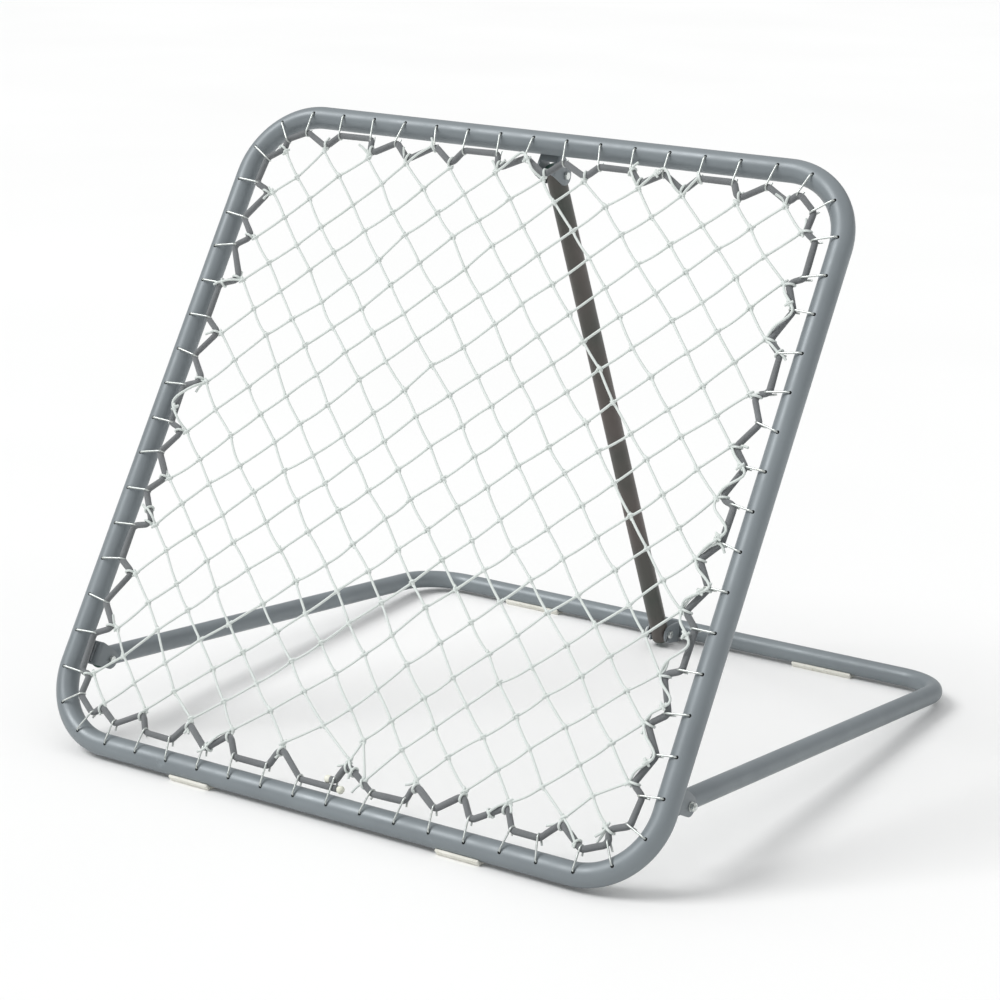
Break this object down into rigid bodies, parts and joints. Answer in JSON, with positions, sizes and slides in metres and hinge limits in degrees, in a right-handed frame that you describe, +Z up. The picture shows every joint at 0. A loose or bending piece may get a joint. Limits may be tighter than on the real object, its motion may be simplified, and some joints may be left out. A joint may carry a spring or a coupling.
{
  "type": "pitch back rebounder",
  "caption": "Square leaning tube frame with a knotted net hung on shock cord, standing on a folding U-shaped base and a rear strut.",
  "frame": {"origin": "on the ground, under the middle of the footprint", "axes": "+X to the object's right seen from the front, +Y to the rear, +Z up"},
  "size_m": [1, 0.9716, 0.8569],
  "materials": {
    "frame_paint": "satin",
    "bracket_paint": "satin",
    "strut_paint": "satin",
    "zinc": "bright zinc plate",
    "plug": "moulded matt",
    "foot": "matt",
    "shock_cord": "braided sheath",
    "cord_tip": "matt",
    "net": "smooth plaited cord"
  },
  "bodies": {
    "frame": {"frame_tube": "frame_paint", "pivot_bracket_left": "bracket_paint", "pivot_bracket_right": "bracket_paint", "top_bracket": "bracket_paint", "pivot_left_bolt": "zinc", "pivot_left_washer": "zinc", "pivot_left_nut": "zinc", "pivot_right_bolt": "zinc", "pivot_right_washer": "zinc", "pivot_right_nut": "zinc", "strut_top_bolt": "zinc", "strut_top_washer": "zinc", "strut_top_nut": "zinc", "front_foot_left": "foot", "front_foot_right": "foot", "shock_cord": "shock_cord", "cord_tip_outer": "cord_tip", "cord_tip_inner": "cord_tip", "net": "net"},
    "base": {"base_tube": "frame_paint", "rear_bracket": "bracket_paint", "arm_plug_left": "plug", "arm_plug_right": "plug", "rear_foot_left": "foot", "rear_foot_right": "foot"},
    "strut": {"strut_tube": "strut_paint", "strut_plug_top": "plug", "strut_plug_bottom": "plug", "strut_bottom_bolt": "zinc", "strut_bottom_washer": "zinc", "strut_bottom_nut": "zinc"}
  },
  "joints": [
    {"name": "base_fold", "type": "hinge", "parent": "frame", "child": "base", "pos_m": [0, -0.36401, 0.10068], "axis": [1, 0, 0], "range_deg": [0, 60]},
    {"name": "strut_fold", "type": "hinge", "parent": "frame", "child": "strut", "pos_m": [0, 0.0692, 0.79395], "axis": [-1, 0, 0], "range_deg": [0, 55]}
  ],
  "couplings": [
    {"joint": "strut_fold", "follows": "base_fold", "ratio": 0.9166}
  ]
}
